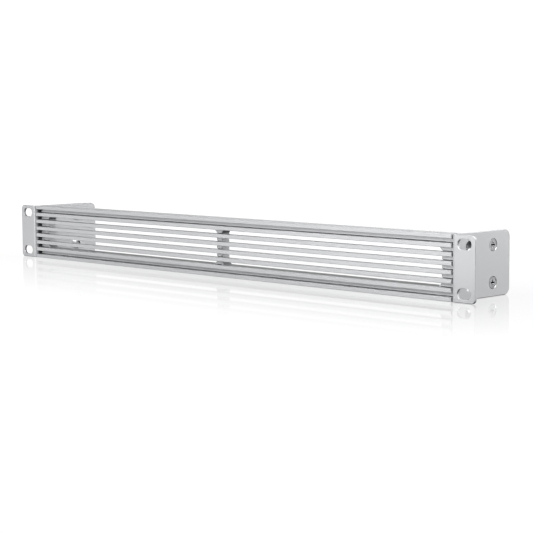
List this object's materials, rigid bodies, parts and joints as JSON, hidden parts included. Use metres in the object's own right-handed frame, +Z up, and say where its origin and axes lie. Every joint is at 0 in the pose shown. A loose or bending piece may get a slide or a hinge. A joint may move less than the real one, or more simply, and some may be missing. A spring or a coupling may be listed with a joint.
{
  "type": "vented blanking panel",
  "caption": "Vented rack blanking panel: horizontal slats on a windowed frame between bent slotted rack ears, closing an empty rack unit while letting air through.",
  "frame": {"origin": "centre of the rack slot pattern, on the rear face of the ears", "axes": "+X along the panel to the right as seen from the front, +Y back into the rack, +Z up"},
  "size_m": [0.4826, 0.0628, 0.0436],
  "materials": {
    "slat_finish": "satin silver-grey coat on aluminium bar",
    "frame_finish": "satin silver-grey coat on aluminium plate",
    "bracket_finish": "satin silver-grey powder coat on steel sheet",
    "plate_finish": "satin silver-grey powder coat on steel sheet",
    "screw_steel": "grey zinc-plated steel",
    "nut_zinc": "bright zinc-plated steel",
    "pin_steel": "plain steel pins"
  },
  "bodies": {
    "root": {"slat_1_top": "slat_finish", "slat_2": "slat_finish", "slat_3": "slat_finish", "slat_4": "slat_finish", "slat_5": "slat_finish", "slat_6": "slat_finish", "slat_7": "slat_finish", "slat_8_bottom": "slat_finish", "grille_frame": "frame_finish", "slat_pins_left": "pin_steel", "slat_pins_centre": "pin_steel", "slat_pins_right": "pin_steel", "rack_bracket_left": "bracket_finish", "rack_bracket_right": "bracket_finish", "end_plate_left": "plate_finish", "end_plate_right": "plate_finish", "bracket_screws_left": "screw_steel", "bracket_screws_right": "screw_steel", "clinch_nuts_left": "nut_zinc", "clinch_nuts_right": "nut_zinc", "frame_screws_left": "screw_steel", "frame_screws_right": "screw_steel"}
  },
  "joints": []
}
